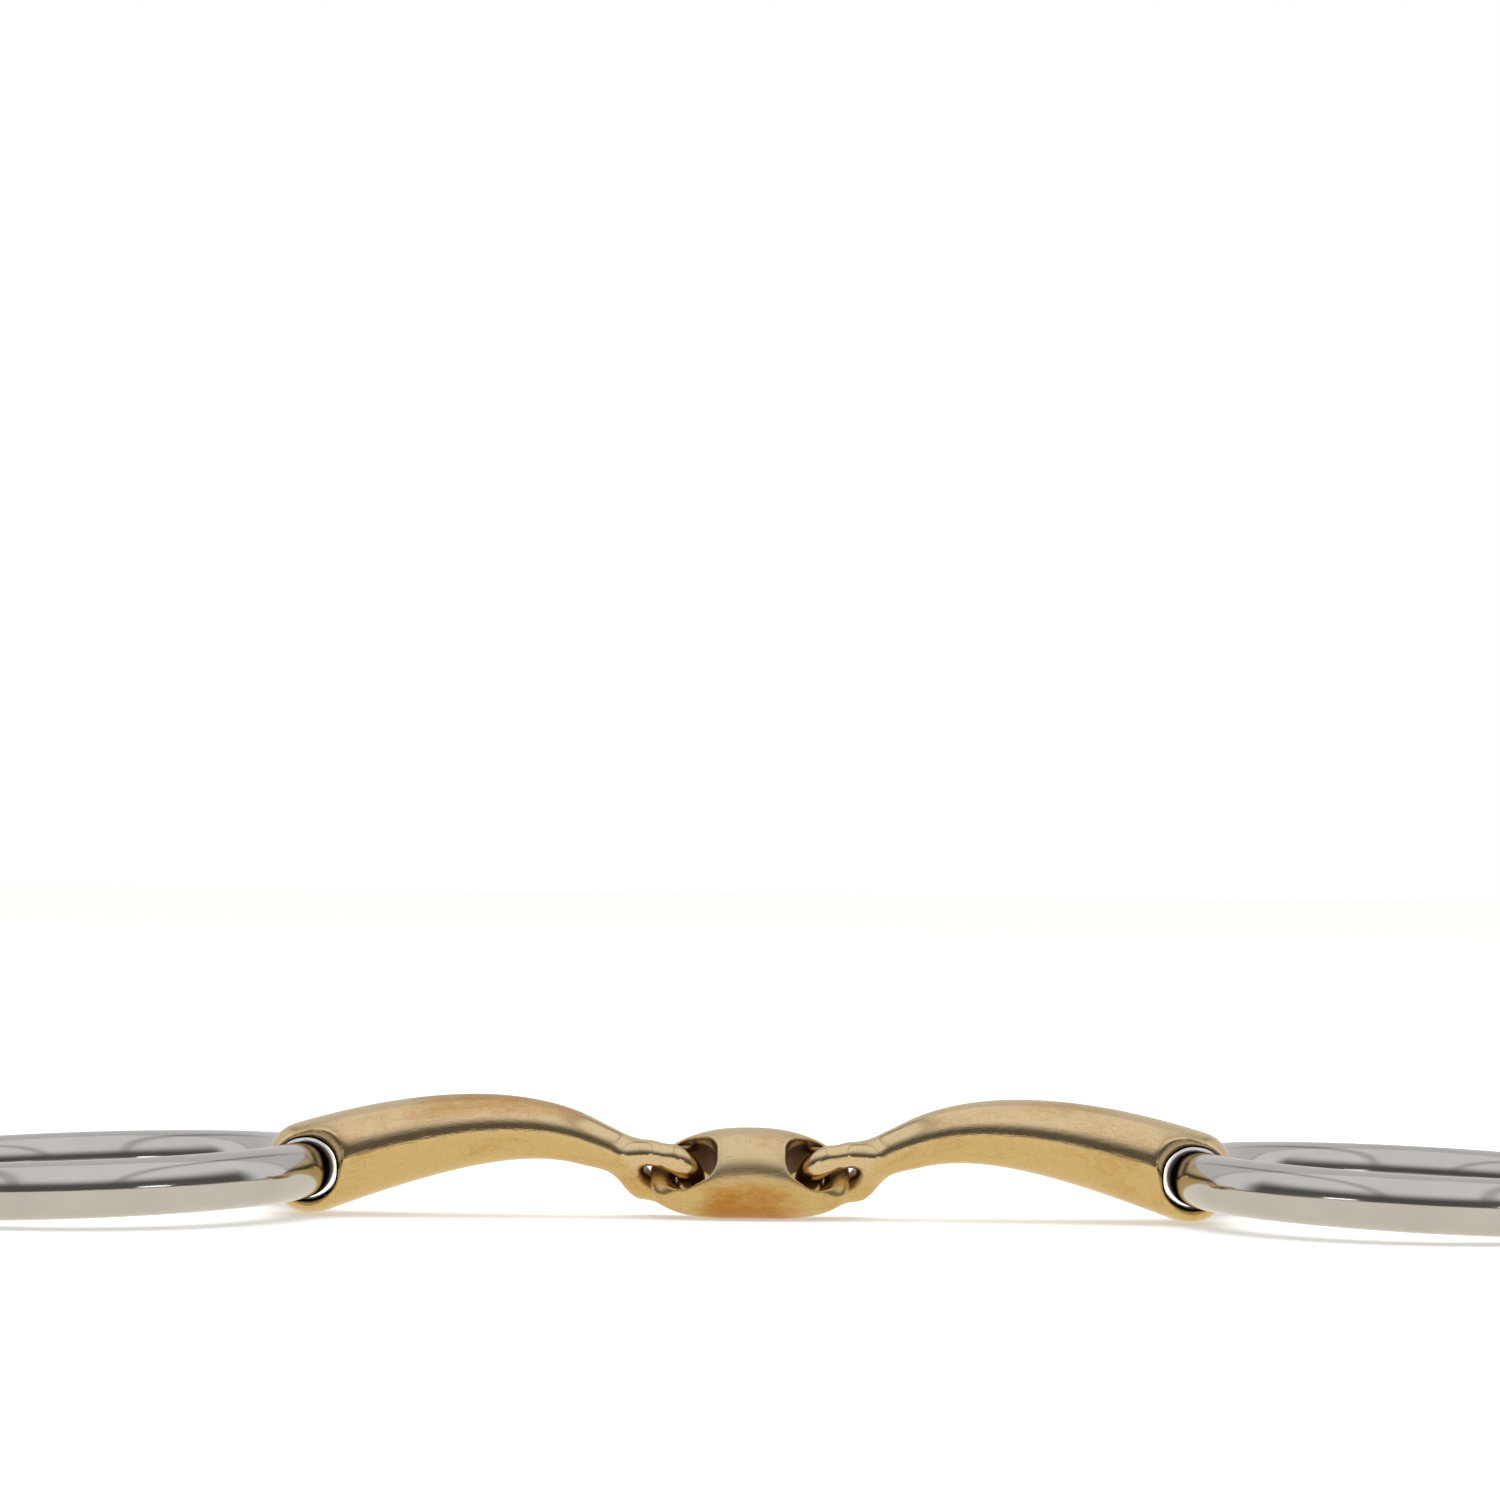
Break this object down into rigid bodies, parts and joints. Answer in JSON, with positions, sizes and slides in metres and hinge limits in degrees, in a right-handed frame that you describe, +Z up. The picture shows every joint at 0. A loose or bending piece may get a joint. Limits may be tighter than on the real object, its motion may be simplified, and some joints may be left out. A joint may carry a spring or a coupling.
{
  "type": "snaffle bit",
  "caption": "Loose-ring snaffle bit: arched copper-alloy arms hooked into an oval centre link, with a plain steel ring running through each outer end.",
  "frame": {"origin": "centre of the mouthpiece, on the ground it lies on", "axes": "+X towards the right ring, along the mouthpiece; +Y away from the viewer, along the ring bores; +Z up"},
  "size_m": [0.2824, 0.0786, 0.0185],
  "materials": {
    "mouthpiece": "polished by hand, fine scratches, warm tarnish patches",
    "ring": "polished"
  },
  "bodies": {
    "centre_link": {"centre_link": "mouthpiece"},
    "left_arm": {"left_arm": "mouthpiece"},
    "right_arm": {"right_arm": "mouthpiece"},
    "left_ring": {"left_ring": "ring"},
    "right_ring": {"right_ring": "ring"}
  },
  "joints": [
    {"name": "left_fold", "type": "hinge", "parent": "centre_link", "child": "left_arm", "pos_m": [-0.01315, 0, 0.00691], "axis": [0, 0.6691, 0.7431], "range_deg": [-45, 45]},
    {"name": "right_fold", "type": "hinge", "parent": "centre_link", "child": "right_arm", "pos_m": [0.01315, 0, 0.00691], "axis": [0, -0.6691, -0.7431], "range_deg": [-45, 45]},
    {"name": "left_swing", "type": "hinge", "parent": "left_arm", "child": "left_ring", "pos_m": [-0.067, 0, 0.00698], "axis": [0, 1, 0], "range_deg": [-90, 90]},
    {"name": "right_swing", "type": "hinge", "parent": "right_arm", "child": "right_ring", "pos_m": [0.067, 0, 0.00698], "axis": [0, -1, 0], "range_deg": [-90, 90]}
  ]
}
